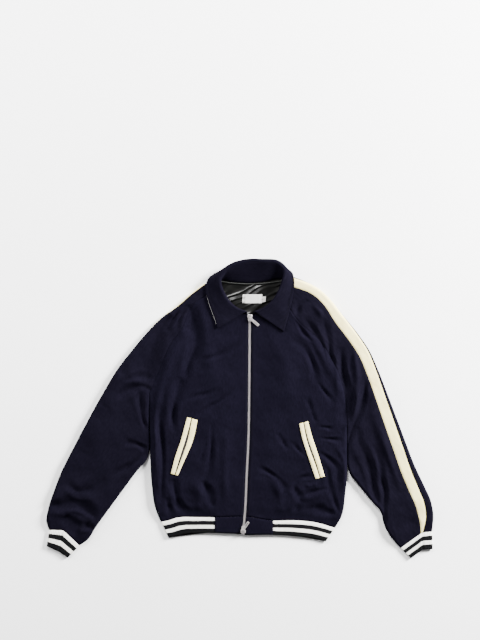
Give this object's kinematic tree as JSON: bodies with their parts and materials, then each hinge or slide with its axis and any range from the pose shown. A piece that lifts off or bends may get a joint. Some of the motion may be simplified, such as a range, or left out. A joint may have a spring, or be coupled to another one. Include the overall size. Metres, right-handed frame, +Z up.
{
  "type": "bomber jacket",
  "caption": "Zip bomber jacket with point collar, raglan sleeves with inset stripes, slanted welt pockets and striped rib hem and cuffs, laid flat on its back",
  "frame": {"origin": "middle of the jacket's outline, on the surface it lies on", "axes": "+X to the wearer's left sleeve, +Y to the neck, +Z up from the surface"},
  "size_m": [1.0648, 0.8237, 0.0305],
  "materials": {
    "melton_front": "brushed navy wool melton, matt",
    "melton_sleeve": "brushed navy wool melton, matt, slightly darker",
    "cream_felt": "cream wool felt, matt",
    "rib_knit": "knitted rib, white with black stripes",
    "satin_lining": "black satin",
    "piping": "grey satin piping",
    "label_white": "white woven tape, bare",
    "zip_tape": "woven navy tape",
    "zip_metal": "polished nickel-plated metal"
  },
  "bodies": {
    "jacket": {"front_right": "melton_front", "front_left": "melton_front", "back": "melton_front", "hem_band_right": "melton_front", "hem_band_left": "melton_front", "sleeve_right_front": "melton_sleeve", "sleeve_right_back": "melton_sleeve", "sleeve_left_front": "melton_sleeve", "sleeve_left_back": "melton_sleeve", "collar_upper": "melton_sleeve", "collar_under": "melton_sleeve", "sleeve_right_stripe": "cream_felt", "sleeve_left_stripe": "cream_felt", "pocket_right_outer_welt": "cream_felt", "pocket_right_inner_welt": "cream_felt", "pocket_left_outer_welt": "cream_felt", "pocket_left_inner_welt": "cream_felt", "hem_rib": "rib_knit", "cuff_right": "rib_knit", "cuff_left": "rib_knit", "lining_back_neck": "satin_lining", "neck_piping": "piping", "label": "label_white", "size_tab": "label_white", "zip_tape_right": "zip_tape", "zip_tape_left": "zip_tape", "zip_chain": "zip_metal", "top_slider": "zip_metal", "bottom_slider": "zip_metal"},
    "top_pull": {"top_pull": "zip_metal"},
    "bottom_pull": {"bottom_pull": "zip_metal"}
  },
  "joints": [
    {"name": "top_pull_hinge", "type": "hinge", "parent": "jacket", "child": "top_pull", "pos_m": [0.027, 0.249, 0.0144], "axis": [-0.6561, -0.7547, 0], "range_deg": [0, 150]},
    {"name": "bottom_pull_hinge", "type": "hinge", "parent": "jacket", "child": "bottom_pull", "pos_m": [0.0086, -0.333, 0.013], "axis": [0.8192, -0.5736, 0], "range_deg": [0, 165]}
  ]
}
